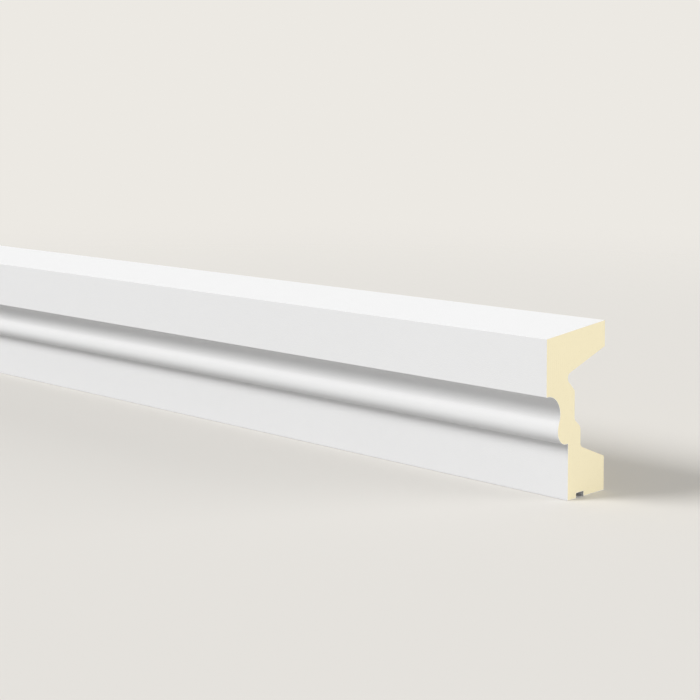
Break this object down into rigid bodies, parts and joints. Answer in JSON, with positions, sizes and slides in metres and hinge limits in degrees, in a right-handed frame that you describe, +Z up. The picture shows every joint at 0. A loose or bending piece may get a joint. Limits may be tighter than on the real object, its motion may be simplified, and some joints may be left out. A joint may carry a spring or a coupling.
{
  "type": "window sill moulding",
  "caption": "White-coated rigid foam window sill moulding with a sloping top, fascia, cavetto and bead, a drip groove below and a hollow back, cut square at both ends.",
  "frame": {"origin": "level with the underside that the moulding stands on, below the middle of the length and of the whole depth", "axes": "+X along the length, +Y back towards the wall with the front facing -Y, +Z up"},
  "size_m": [1, 0.083, 0.15],
  "materials": {
    "primed_foam": "matt white priming coat on the sill, front and underside, over cream rigid foam that is bare on the cut ends and the back"
  },
  "bodies": {
    "root": {"sill_moulding": "primed_foam"}
  },
  "joints": []
}
